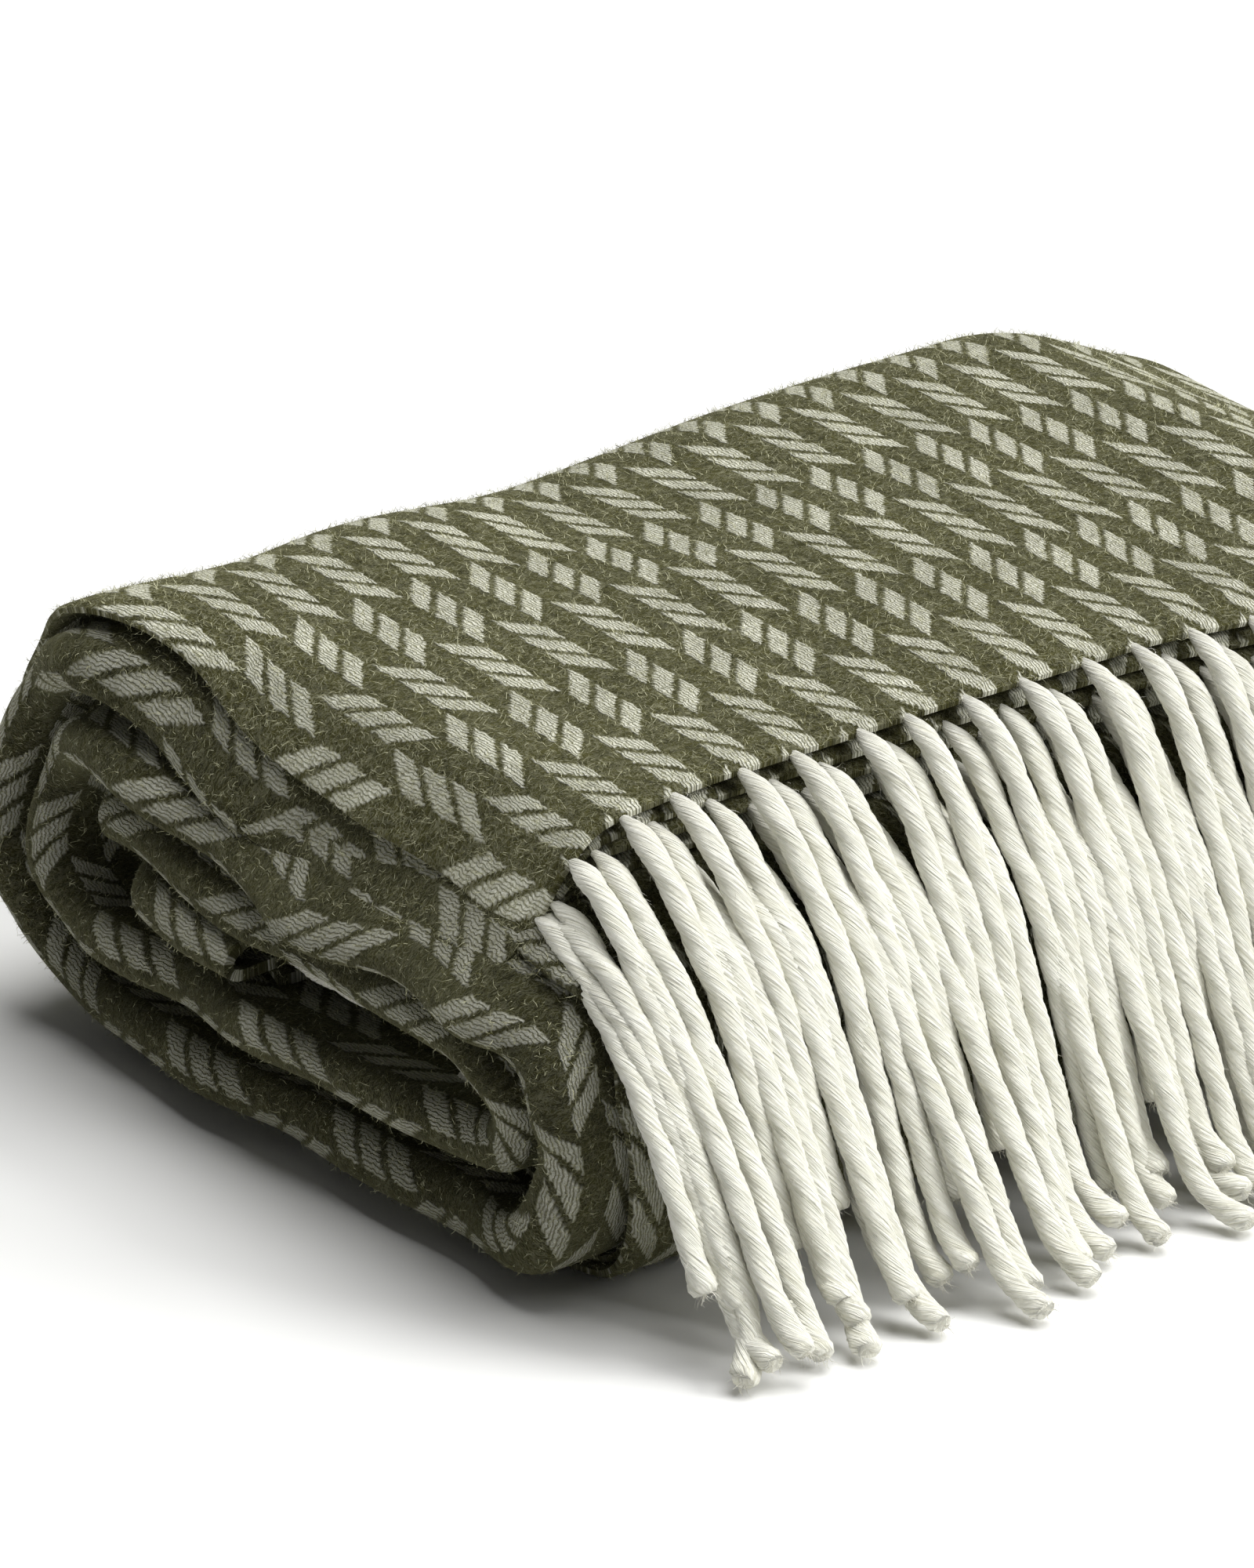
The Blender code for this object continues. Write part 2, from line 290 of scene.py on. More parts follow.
def roll_place(q, depth):
    """(y, z) of cloth at q along the roll and at a depth under the packet's outer face."""
    y = np.zeros_like(q)
    z = np.zeros_like(q)
    for kind, start, end, first, second in STRETCHES:
        here = (q >= start) & (q <= end)
        share = (q - start) / (end - start)
        if kind == "flat":
            outward = second
            straight = q if start == BEFORE_EDGE else (
                BACK_CENTRE - share * FLAT_RUN if outward < 0 else FRONT_CENTRE + share * FLAT_RUN)
            y = np.where(here, straight, y)
            z = np.where(here, first * PACKET - outward * depth, z)
            if start == BEFORE_EDGE:
                # the flap droops over the shoulder of the front turn
                ahead = np.clip(FRONT_CENTRE - q, 0, FRONT_RADIUS)
                z = z - here * (FRONT_RADIUS - np.sqrt(FRONT_RADIUS ** 2 - ahead ** 2))
        else:
            middle = (first + second) * PACKET / 2
            radius = (first - second) * PACKET / 2 - depth
            side = 1 if kind == "back" else -1
            centre = BACK_CENTRE if kind == "back" else FRONT_CENTRE
            # a back turn runs down from the top, a front turn runs up from the bottom
            angle = (0.5 - share) * math.pi * side
            y = np.where(here, centre + side * radius * np.cos(angle), y)
            z = np.where(here, middle + radius * np.sin(angle), z)
    return y, z


def smooth(low, high, value):
    """0 at low and 1 at high, with a soft start and end."""
    share = np.clip((value - low) / (high - low), 0, 1)
    return share * share * (3 - 2 * share)


def noise_at(points, size, seed):
    """Smooth noise from about -1 to 1, one number for each point."""
    offset = Vector((seed * 7.3, seed * 3.1, seed * 5.7))
    return np.array([noise.noise(Vector(point) / size + offset) for point in points])


PRESSED_SHARE = 0.75
PRESSED_REACH = 0.032
PRESSED_HEIGHT = 0.048


def flattened_front(y, z):
    """The front turn's lower half is pressed down on the floor by the plies above it."""
    ahead = smooth(FRONT_CENTRE, FRONT_CENTRE - PRESSED_REACH, y)
    low = 1 - smooth(0.0, PRESSED_HEIGHT, z)
    return z * (1 - PRESSED_SHARE * ahead * low)


# The top of the roll as it lies: its height at the middle, how it rises along the roll to
# the first, second and third power, and how it rises towards the back.
TOP_LEVEL = 0.1171
TOP_RISE, TOP_BOW, TOP_TWIST = 0.0295, -0.178, 2.29
TOP_RISE_BACK = 0.029
DROOP_LEFT = 0.0135
STAND_LEFT = 0.009
BACK_DIP = 0.0062
DIP_AT = -0.035
DIP_REACH = 0.045
DROOP_RIGHT = 0.024
SWELL, SWELL_SIZE = 0.0022, 0.085
RIPPLE, RIPPLE_SIZE = 0.0009, 0.038
END_WAVE, END_WAVE_SIZE = 0.006, 0.045
END_OUT = 0.004
END_TUCK = 0.012
SIDE_WAVE, SIDE_WAVE_SIZE = 0.003, 0.07


def settle(points):
    """The roll as it really lies: one smooth change of shape for everything in it."""
    p = points.copy()
    x, y, z = p[:, 0], p[:, 1], p[:, 2]
    height = z / TOP
    from_left = x - LEFT
    from_right = RIGHT - x
    crown = TOP_LEVEL + TOP_RISE * x + TOP_BOW * x ** 2 + TOP_TWIST * x ** 3 + TOP_RISE_BACK * y
    # the left end rounds down but stands up at the back, and the right end rounds over
    at_back = smooth(0.0, 0.09, y)
    droop_left = DROOP_LEFT * np.clip((0.030 - from_left) / 0.030, 0, 1.3) ** 2 * (1 - at_back)
    stand_left = STAND_LEFT * smooth(0.060, 0.0, from_left) * at_back
    dip = BACK_DIP * np.exp(-((x - DIP_AT) / DIP_REACH) ** 2) * at_back
    droop_right = DROOP_RIGHT * smooth(0.055, -0.012, from_right)
    level = crown + stand_left - dip - droop_left - droop_right
    lift = (level / (TOP - 0.001) - 1) * smooth(0.15, 1.0, height)
    p[:, 2] = z * (1 + lift)
    swell = noise_at(points, SWELL_SIZE, 1)
    ripple = noise_at(points, RIPPLE_SIZE, 2)
    p[:, 2] += (SWELL * swell + RIPPLE * ripple) * smooth(0.2, 0.8, height)
    # the left end isn't flush: its turns stand out unevenly, and its top front edge is tucked in
    end = smooth(0.045, 0.0, from_left)
    p[:, 0] += end * (END_WAVE * noise_at(points * (0, 1, 1.6), END_WAVE_SIZE, 3))
    p[:, 0] -= END_OUT * smooth(0.05, 0, from_left)
    tucked = smooth(0.035, -0.005, from_left) * smooth(0.75, 0.95, height) * (1 - at_back)
    p[:, 0] += END_TUCK * tucked
    p[:, 1] += SIDE_WAVE * noise_at(points, SIDE_WAVE_SIZE, 4) * smooth(0.1, 0.9, height)
    return p


# Across the packet the cloth runs in seven parts, from its first selvedge: ply, right outer
# fold, ply, left fold, ply, right inner fold, ply. Even numbers are plies and odd ones folds.
SKEW = 0.05  # the roll runs a little off square, so the packet creeps along it
EDGE_THINNING = 0.5
CURL_RADIUS = 0.013
CURL_LENGTH = 0.022
CURL_ANGLE = 1.9
CURL_OUT = 0.014
OUTER_FOLD = 1.5 * PLY
INNER_FOLD = 0.5 * PLY
FOLD_POINTS = 11
PLY_POINTS = 26
CORE_BACK, CORE_BACK_REACH = 0.030, 0.035  # how far the core fold stands back


def spaced(count, end_share):
    """Shares from 0 to 1, closer together at both ends."""
    even = np.linspace(-1, 1, count)
    crowded = np.sign(even) * (1 - (1 - np.abs(even)) ** 2)
    return ((1 - end_share) * even + end_share * crowded + 1) / 2


def creep(q):
    """How far along the roll the packet has crept at q."""
    return SKEW * np.clip(q + 0.005, -0.1, BACK_CENTRE + 0.005) * smooth(TURN_END, BACK_CENTRE, q)


def section_columns(first, last, fine):
    """The cross-section's columns: (part, share along it) for the parts from first to last."""
    columns = []
    for part in range(first, last + 1):
        if part % 2:
            shares = np.linspace(0, 1, FOLD_POINTS)
        else:
            shares = spaced(fine if part == 0 else PLY_POINTS, 0.6)
        for share in shares if part == first else shares[1:]:
            columns.append((part, share))
    return columns


def packet_section(columns, q):
    """x, depth and u of each column at each q, as columns by rows. u is cloth across from the selvedge."""
    q = np.asarray(q)
    rows = np.ones_like(q)
    wander = [np.array([noise.noise(Vector((value / 0.05, seed * 9.7, 0.0))) for value in q])
              for seed in range(1, 5)]
    hollow = CORE_BACK * smooth(CORE_BACK_REACH, 0.0, np.abs(q - HOLLOW_AT))
    inside = smooth(BACK_CENTRE + 0.02, BACK_CENTRE + 0.12, q)
    first_edge = LEFT + 0.001 + 0.003 * wander[0] + inside * (0.008 + 0.006 * wander[0]) + hollow
    second_edge = LEFT + 0.018 + 0.008 * wander[1] + hollow
    lip = LEFT - 0.005 + 0.007 * wander[2] + hollow
    outer_bend = RIGHT - OUTER_FOLD + 0.002 * wander[3]
    inner_bend = RIGHT - OUTER_FOLD - 0.004 + 0.003 * wander[1]
    # how many plies deep each ply lies, at the left end and further in
    near_depth = {0: 0.36, 6: 0.98, 4: 1.58, 2: 3.74}
    far_depth = {0: 0.5, 6: 1.5, 4: 2.5, 2: 3.5}
    lip_radius = (near_depth[2] - near_depth[4]) / 2 * PLY
    bend_x = {1: outer_bend, 3: lip + lip_radius, 5: inner_bend}
    spans = {0: (first_edge, outer_bend), 2: (outer_bend, lip + lip_radius),
             4: (lip + lip_radius, inner_bend), 6: (inner_bend, second_edge)}
    cloth = {0: (0, 1), 2: (1, 2), 4: (2, 3), 6: (3, 4)}
    xs, depths, us = [], [], []
    half = {1: math.pi * OUTER_FOLD / 2, 3: math.pi * lip_radius / 2, 5: math.pi * INNER_FOLD / 2}
    for part, share in columns:
        if part % 2 == 0:
            start, end = spans[part]
            x = start + share * (end - start)
            at_left = smooth(LEFT + 0.055, LEFT + 0.004, x)
            depth = (far_depth[part] + at_left * (near_depth[part] - far_depth[part])) * PLY
            if part == 0:
                # the lowest selvedge curls up off the floor, over the end of the packet
                curl = smooth(0, 0.05, q - TURN_END) * smooth(0, -0.04, q - STRETCHES[2][2] - 0.02)
                flat_to = start + CURL_LENGTH
                back = np.clip((flat_to - x) / CURL_RADIUS, 0, None)
                bent = np.minimum(back, CURL_ANGLE)
                x = x + curl * (flat_to - CURL_RADIUS * np.sin(bent) - x) * (back > 0)
                x = x - curl * CURL_OUT
                depth = depth + curl * CURL_RADIUS * (1 - np.cos(bent))
            low = cloth[part][0] * ROLL_LENGTH + half.get(part - 1, 0)
            high = cloth[part][1] * ROLL_LENGTH - half.get(part + 1, 0)
            u = (low + share * (high - low)) * rows
        else:
            side = 1 if part in (1, 5) else -1
            radius = {1: OUTER_FOLD, 3: lip_radius, 5: INNER_FOLD}[part]
            first_depth = {1: 0.5, 3: near_depth[2], 5: 2.5}[part] * PLY
            turn_down = {1: 1, 3: -1, 5: -1}[part]
            angle = share * math.pi
            x = bend_x[part] + side * radius * math.sin(angle)
            depth = (first_depth + turn_down * radius * (1 - math.cos(angle))) * rows
            middle = {1: 1, 3: 2, 5: 3}[part] * ROLL_LENGTH
            u = (middle + (share * 2 - 1) * half[part]) * rows
        xs.append(x * rows)
        depths.append(depth * rows)
        us.append(u)
    return np.array(xs), np.array(depths), np.array(us)


# painted shade at the roll's left end: how much darker the colour gets, and how far from the end it starts
# and is full
PAINTED_END_SHADE = 0.5
SHADE_FROM, SHADE_FULL = 0.040, 0.012  # from the left end


def cloth_piece(name, columns, q_rows, from_edge=False, on_top=False):
    """A sheet of the packet: the columns of its section along a run of the roll."""
    q_rows = np.asarray(q_rows, float)
    xs, depths, us = packet_section(columns, q_rows)
    q = np.broadcast_to(q_rows, xs.shape).copy()
    if from_edge:
        share = (q_rows - q_rows[0]) / (q_rows[-1] - q_rows[0])
        q = edge_y(xs) + share * (q_rows[-1] - edge_y(xs))
    ys, zs = roll_place(q.ravel(), depths.ravel())
    zs = flattened_front(ys, zs)
    points = settle(np.stack([(xs + creep(q)).ravel(), ys, zs], 1)).reshape(*xs.shape, 3)
    vs = q - edge_y(xs)
    bm = bmesh.new()
    across, along = len(columns) - 1, len(q_rows) - 1
    bmesh.ops.create_grid(bm, x_segments=across, y_segments=along, size=1)
    layer = bm.loops.layers.uv.new("cloth")
    index = {}
    for vert in bm.verts:
        i = round((vert.co.x + 1) / 2 * across)
        j = round((vert.co.y + 1) / 2 * along)
        index[vert] = (i, j)
    for vert, (i, j) in index.items():
        vert.co = points[i, j]
    for face in bm.faces:
        for loop in face.loops:
            i, j = index[loop.vert]
            loop[layer].uv = (us[i, j], vs[i, j])
    places = [index[vert] for vert in bm.verts]
    mesh = bpy.data.meshes.new(name)
    bm.to_mesh(mesh)
    bm.free()
    mesh.shade_smooth()
    piece = bpy.data.objects.new(name, mesh)
    bpy.context.scene.collection.objects.link(piece)
    piece.data.materials.append(wool)
    thick = piece.vertex_groups.new(name="thick")
    for vert_index, (i, j) in enumerate(places):
        at_selvedge = (columns[i][0], columns[i][1]) in ((0, 0.0), (6, 1.0))
        at_edge = at_selvedge or (from_edge and j == 0)
        thick.add([vert_index], EDGE_THINNING if at_edge else 1.0, "REPLACE")
    wall = piece.modifiers.new("cloth thickness", "SOLIDIFY")
    wall.thickness = CLOTH_THICKNESS
    wall.offset = 0
    wall.vertex_group = "thick"
    graph = bpy.context.evaluated_depsgraph_get()
    finished = bpy.data.meshes.new_from_object(piece.evaluated_get(graph))
    piece.modifiers.clear()
    piece.vertex_groups.clear()
    piece.data = finished
    finished.name = name
    finished.set_sharp_from_angle(angle=math.radians(50))
    # painted shade: every piece but the top ply is darkened towards the roll's left end, where its end
    # face lies in shadow
    shade = finished.attributes.new("shade", "FLOAT", "POINT")
    for vert, value in zip(finished.vertices, shade.data):
        deep = float(smooth(LEFT + SHADE_FROM, LEFT + SHADE_FULL, vert.co.x))
        value.value = PAINTED_END_SHADE * deep * (not on_top)
    return piece


TURN_MIDDLE = (STRETCHES[1][1] + STRETCHES[1][2]) / 2
TOP_PLY = section_columns(0, 0, 90)
UNDER_PLIES = section_columns(0, 6, 90)[len(TOP_PLY) - 1:]

flap_rows = np.linspace(EDGE_LEFT, TURN_MIDDLE, 92)
flap_top = cloth_piece("flap_top_ply", TOP_PLY, flap_rows, from_edge=True, on_top=True)
flap_under = cloth_piece("flap_under_plies", UNDER_PLIES, flap_rows, from_edge=True)
for piece in (flap_top, flap_under):
    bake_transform(piece)
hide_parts("top_flap")

# ---------------------------------------------------------------------------------------
# The back turn: the same four plies where they run down round the back of the roll. The cloth bends softly
# at its top.
turn_rows = np.linspace(TURN_MIDDLE, TURN_END, 36)
back_outer = cloth_piece("back_turn_outer_ply", TOP_PLY, turn_rows, on_top=True)
back_inner = cloth_piece("back_turn_inner_plies", UNDER_PLIES, turn_rows)
for piece in (back_outer, back_inner):
    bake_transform(piece)
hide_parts("back_turn")

# ---------------------------------------------------------------------------------------
# The bottom and the front turn: the plies that lie on the floor and come up round the front,
# pressed flat there. The lowest selvedge curls up over the left end.
front_rows = np.linspace(TURN_END, STRETCHES[3][2], 92)
outer_bottom = cloth_piece("bottom_outer_ply", TOP_PLY, front_rows)
inner_bottom = cloth_piece("bottom_inner_plies", UNDER_PLIES, front_rows)
for piece in (outer_bottom, inner_bottom):
    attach(piece, "root")
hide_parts("bottom_panel", "front_turn")

# ---------------------------------------------------------------------------------------
# The second turn: the packet again, one time further in. Only its ends show, as a second
# ring inside the first: open lips at the left and closed folds at the right.
second_rows = np.linspace(STRETCHES[3][2], STRETCHES[5][2], 84)
outer_second = cloth_piece("second_turn_outer_ply", TOP_PLY, second_rows)
inner_second = cloth_piece("second_turn_inner_plies", UNDER_PLIES, second_rows)
for piece in (outer_second, inner_second):
    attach(piece, "root")
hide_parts("second_turn_top", "second_turn_back")

# ---------------------------------------------------------------------------------------
# The core: where the rolling began. The packet is doubled back on itself there, and the fold
# stands a little back from the roll's left end.
core_rows = np.linspace(STRETCHES[5][2], CORE_END, 140)
core = cloth_piece("core_plies", section_columns(0, 6, 40), core_rows)
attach(core, "root")
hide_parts("second_turn_bottom", "second_turn_front", "core_top", "core_fold", "core_bottom")

# ---------------------------------------------------------------------------------------
# The fringe. Every few warp ends are twisted into a two-ply strand, left loose at its end
# with no knot. Each ply of the packet has its own row of strands, laid one over the other.
STRAND_LENGTH = 0.138
STRAND_PITCH = ROLL_LENGTH / 20  # one strand to each repeat of the herringbone
STRAND_RADIUS = 0.0029
FLATTENED = 1.15  # times as wide as it is round
TWIST_PITCH = 0.028
GROOVE = 0.15  # of the radius, where the two yarns of a strand meet
ROW_LIFT = 0.0005  # that each row of strands adds over the row below
STRAND_STEPS = 72
STRAND_SIDES = 12
YARN_CREAM = "#fbfaee"
YARN_SHADED_HOLLOW = "#e2e0cd"
FIBRE_SPACING = 1 / 1500  # 0.67 mm, drawn coarser than a fibre so that it shows
FIBRE_RUN = 1 / 70  # 14 mm along the yarn
CLUMP = 1 / 180  # 5.6 mm
YARN_RELIEF = 0.0010


# Undyed wool yarn, spun and plied. Its fibres run along each yarn; the colour is painted lighter on them
# and darker in fine lines between them, as painted light and shade that follows the bump. It has no gloss.
def cream_wool_yarn():
    material = bpy.data.materials.new("cream_wool_yarn")
    material.use_nodes = True
    tree = material.node_tree
    shader = tree.nodes["Principled BSDF"]
    cloth = add_node(tree, "UVMap", {}, uv_map="cloth")
    drawn = add_node(tree, "Mapping",
                     {"Vector": cloth, "Scale": (1 / FIBRE_SPACING, 1 / FIBRE_RUN, 1.0)})
    fibres = add_node(tree, "TexNoise",
                      {"Vector": drawn, "Scale": 1.0, "Detail": 3.0, "Roughness": 0.6},
                      noise_dimensions="2D")
    clumps = add_node(tree, "TexNoise", {"Vector": cloth, "Scale": 1 / CLUMP, "Detail": 2.0},
                      noise_dimensions="2D")
    # painted light and shade: lighter on the fibres and darker in the fine lines between them, where the
    # bump sinks
    tone = add_node(tree, "MapRange", {0: fibres, 1: 0.3, 2: 0.6})
    colour = add_node(tree, "Mix", {0: tone, 6: linear(YARN_SHADED_HOLLOW), 7: linear(YARN_CREAM)}, 2,
                      data_type="RGBA")
    tree.links.new(colour, shader.inputs["Base Color"])
    relief = add_node(tree, "Math", {0: fibres, 1: clumps}, operation="ADD")
    bump = add_node(tree, "Bump", {"Strength": 0.9, "Distance": YARN_RELIEF, "Height": relief})
    tree.links.new(bump, shader.inputs["Normal"])
    shader.inputs["Roughness"].default_value = 0.85
    shader.inputs["Specular IOR Level"].default_value = 0.3
    shader.inputs["Sheen Weight"].default_value = 0.3
    shader.inputs["Sheen Roughness"].default_value = 0.5
    return material


yarn = cream_wool_yarn()
chance = random.Random(20)
LEAN_AT_LEFT, LEAN_LOST, LEAN_BY_ROW, LEAN_SPREAD = 25, 15, 3.5, 4  # degrees from upright
SHORTEST_ROW, LENGTH_BY_ROW, LENGTH_SPREAD = 0.82, 0.075, 0.06
LANDING_HEIGHT = 0.016  # where a strand starts to turn along the floor
DROP_OFF = 22  # degrees steeper, for a strand that stands off the cloth
BEND_DOWN, BEND_UP = 0.045, 0.09  # the most that a strand bends in each millimetre
SMOOTHED_OVER = 13


def strand_route(x, row, stray):
    """The strand's way from the packet's edge: over the front turn, down, and out on the floor."""
    along = (x - LEFT) / ROLL_LENGTH
    lean = math.radians(LEAN_AT_LEFT - LEAN_LOST * along + LEAN_BY_ROW * row
                        + chance.uniform(-LEAN_SPREAD, LEAN_SPREAD))
    steepest = math.pi / 2 - lean
    # the upper rows end higher, because they start higher and go the longer way round
    length = STRAND_LENGTH * (SHORTEST_ROW + LENGTH_BY_ROW * row
                              + chance.uniform(-LENGTH_SPREAD, LENGTH_SPREAD))
    foot = chance.uniform(0.001, 0.009)
    y = edge_y(x) + 0.003
    base = FRONT_MIDDLE + math.sqrt(FRONT_RADIUS ** 2 - max(FRONT_CENTRE - y, 0) ** 2)
    place = np.array([x, y, base + PLY * (3.5 - row)])
    lying = STRAND_RADIUS + 0.0008
    over = lying + (3 - row) * ROW_LIFT
    # neighbours swing together
    swing = chance.uniform(-0.03, 0.03) + 0.10 * noise.noise(Vector((x / 0.06, 4.2, 0.0)))
    curl = chance.uniform(-0.05, 0.05) + 0.16 * noise.noise(Vector((x / 0.045, 9.1, 0.0)))
    step = 0.001
    fine = [place.copy()]
    slope = 0.0
    travelled = 0.0
    floor_at = lying + chance.uniform(0.4, 1.0) * 0.0040 * (3 - row)
    while travelled < length and foot > 0:
        ahead = max(FRONT_CENTRE - place[1], 0)
        up = place[2] - FRONT_MIDDLE
        wanted = math.atan2(ahead, up)
        distance = math.hypot(ahead, up)
        if distance > FRONT_RADIUS + over:
            wanted += math.radians(DROP_OFF)
        height = max(place[2] - floor_at, 0)
        landed = max(1 - height / LANDING_HEIGHT, 0)
        wanted = min(wanted, steepest, math.acos(landed))
        slope += max(min(wanted - slope, BEND_DOWN), -BEND_UP)
        heading = swing + curl * math.sin(travelled / length * math.pi) + stray * landed
        level = math.cos(slope)
        way = np.array([-level * math.sin(heading), -level * math.cos(heading), -math.sin(slope)])
        place = place + step * way
        foot -= step * (place[2] < floor_at + 0.001)
        place[2] = max(place[2], floor_at)
        travelled += step
        fine.append(place.copy())
    # a strand has no sharp bend
    fine = np.array(fine)
    before = 2 * fine[0] - fine[SMOOTHED_OVER - 1:0:-1]
    after = 2 * fine[-1] - fine[-2:-SMOOTHED_OVER - 1:-1]
    padded = np.concatenate([before, fine, after])
    window = np.hanning(2 * SMOOTHED_OVER + 1)[1:-1] / SMOOTHED_OVER
    fine = np.stack([np.convolve(padded[:, k], window, "valid") for k in range(3)], 1)
    fine[:, 0] += creep(edge_y(x))
    settled = settle(fine)
    settled[:, 0] = fine[:, 0] + settled[0, 0] - fine[0, 0]
    return settled


def frames_along(points):
    """A steady pair of directions across the route at each of its points."""
    tangents = np.gradient(points, axis=0)
    tangents /= np.linalg.norm(tangents, axis=1, keepdims=True)
    sideways = np.cross(tangents, np.array([1.0, 0.0, 0.0]))
    sideways /= np.linalg.norm(sideways, axis=1, keepdims=True)
    return np.cross(sideways, tangents), sideways


def strand(bm, layer, route, phase):
    """Two yarns twisted together along the route, as one skin with a groove down each side."""
    far = np.concatenate([[0], np.cumsum(np.linalg.norm(np.diff(route, axis=0), axis=1))])
    spots = np.linspace(0, far[-1], STRAND_STEPS + 1)
    centre = np.stack([np.interp(spots, far, route[:, k]) for k in range(3)], 1)
    first, second = frames_along(centre)
    share = spots / far[-1]
    # thin where it leaves the cloth, and a little fuller where its end is loose
    body = 0.30 + 0.70 * smooth(0.0, 0.10, share)
    body = body * (1 + 0.14 * smooth(0.92, 1.0, share)) * (1 - 0.25 * (share == 1))
    made = bmesh.ops.create_grid(bm, x_segments=STRAND_SIDES, y_segments=STRAND_STEPS, size=1)
    index = {}
    for vert in made["verts"]:
        i = round((vert.co.x + 1) / 2 * STRAND_SIDES)
        j = round((vert.co.y + 1) / 2 * STRAND_STEPS)
        index[vert] = (i, j)
    faces = {face for vert in made["verts"] for face in vert.link_faces}
    for vert, (i, j) in index.items():
        around = 2 * math.pi * i / STRAND_SIDES
        angle = phase - around - spots[j] / TWIST_PITCH * 2 * math.pi
        groove = GROOVE * (1 - abs(math.cos(around))) ** 1.4
        radius = STRAND_RADIUS * body[j] * (1 - groove)
        vert.co = centre[j] + radius * (FLATTENED * math.cos(angle) * first[j]
                                        + math.sin(angle) / FLATTENED * second[j])
    for face in faces:
        for loop in face.loops:
            i, j = index[loop.vert]
            loop[layer].uv = (i / STRAND_SIDES * 2 * math.pi * STRAND_RADIUS + phase, spots[j])
    bmesh.ops.remove_doubles(bm, verts=made["verts"], dist=1e-6)


def fringe_piece(name, strands):
    bm = bmesh.new()
    layer = bm.loops.layers.uv.new("cloth")
    for route, phase in strands:
        strand(bm, layer, route, phase)
    open_ends = [edge for edge in bm.edges if edge.is_boundary]
    bmesh.ops.holes_fill(bm, edges=open_ends, sides=STRAND_SIDES + 1)
    bmesh.ops.recalc_face_normals(bm, faces=bm.faces)
    mesh = bpy.data.meshes.new(name)
    bm.to_mesh(mesh)
    bm.free()
    mesh.shade_smooth()
    mesh.set_sharp_from_angle(angle=math.radians(70))
    piece = bpy.data.objects.new(name, mesh)
    bpy.context.scene.collection.objects.link(piece)
    piece.data.materials.append(yarn)
    return piece


ROWS = ("top", "second", "third", "lowest")
STRANDS_IN_ROW = 20
STRANDS_IN_PIECE = 5
routes = []
for row, row_name in enumerate(ROWS):
    strands = []
    for i in range(STRANDS_IN_ROW):
        x = LEFT + (i + 0.2 + 0.5 * (row % 2) + 0.25 * (row // 2)) * STRAND_PITCH
        x += chance.uniform(-0.0018, 0.0018)
        # the first strand at the left end lies well away from the others
        stray = math.radians(55) if (row == 3 and i == 0) else chance.uniform(-0.4, 0.4)
        strands.append((strand_route(x, row, stray), chance.uniform(0, 6.28)))
        routes.append(strands[-1][0])
    for first in range(0, STRANDS_IN_ROW, STRANDS_IN_PIECE):
        piece = fringe_piece(f"{row_name}_fringe_{first // STRANDS_IN_PIECE + 1}",
                             strands[first:first + STRANDS_IN_PIECE])
        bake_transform(piece)
tassel_nodes = [f"{kind}_tassel_{i:02}" for kind in ("upper", "lower") for i in range(1, 21)]
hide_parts(*tassel_nodes)

# ---------------------------------------------------------------------------------------
# The inner fringe: the throw's other end, with the same twisted strands, rolled up in the
# core. One strand stands for the four that lie together there.
inner_strands = []
for i in range(STRANDS_IN_ROW):
    x = LEFT + (i + 0.5) * STRAND_PITCH + chance.uniform(-0.002, 0.002)
    run = np.linspace(CORE_END - 0.003, CORE_END + 0.085, 60)
    y, z = roll_place(run, np.full_like(run, 2.0 * PLY))
    inner_strands.append((settle(np.stack([np.full_like(run, x), y, z], 1)), chance.uniform(0, 6.28)))
inner_fringe = fringe_piece("inner_fringe_strands", inner_strands)
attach(inner_fringe, "root")
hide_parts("inner_fringe")

# ---------------------------------------------------------------------------------------
# The nap. Single wool hairs that milling has pulled loose stand up from the cloth and the
# yarn and bend over, each a narrow ribbon that ends in a point.
HAIR_WIDTH = 0.00015  # a few fibres together, since one alone wouldn't show
HAIR_ROOT_DEPTH = 0.0002
FLOOR_CLEARANCE = 0.0003
HAIR_TONE = 1 / 900  # 1.1 mm
SQUARE_CENTIMETRE = 1e-4
FLAP_HAIRS, FLAP_HAIR_LENGTH = 28, 0.0060
FLAP_EDGE_HAIRS = 26
ROLL_HAIRS = 12
ROLL_EDGE_HAIRS = 20
SHORT_HAIR_LENGTH = 0.0045
END_DEPTH = 0.022  # from the left end, where the edges are fuzzy
STRAND_HAIRS, STRAND_HAIR_LENGTH = 110, 0.0040
TIP_HAIRS, TIP_HAIR_LENGTH = 18, 0.0042
dice = np.random.default_rng(7)


# Single wool fibres: matt, and lighter and darker from one to the next.
def hair_paint(name, dark, light):
    material = bpy.data.materials.new(name)
    material.use_nodes = True
    tree = material.node_tree
    shader = tree.nodes["Principled BSDF"]
    place = add_node(tree, "TexCoord", {}, 3)
    tone = add_node(tree, "TexNoise", {"Vector": place, "Scale": 1 / HAIR_TONE, "Detail": 1.0})
    level = add_node(tree, "MapRange", {0: tone, 1: 0.35, 2: 0.65})
    colour = add_node(tree, "Mix", {0: level, 6: linear(dark), 7: linear(light)}, 2,
                      data_type="RGBA")
    tree.links.new(colour, shader.inputs["Base Color"])
    shader.inputs["Roughness"].default_value = 0.7
    shader.inputs["Specular IOR Level"].default_value = 0.2
    return material


def unit(vectors):
    return vectors / np.maximum(np.linalg.norm(vectors, axis=1, keepdims=True), 1e-9)


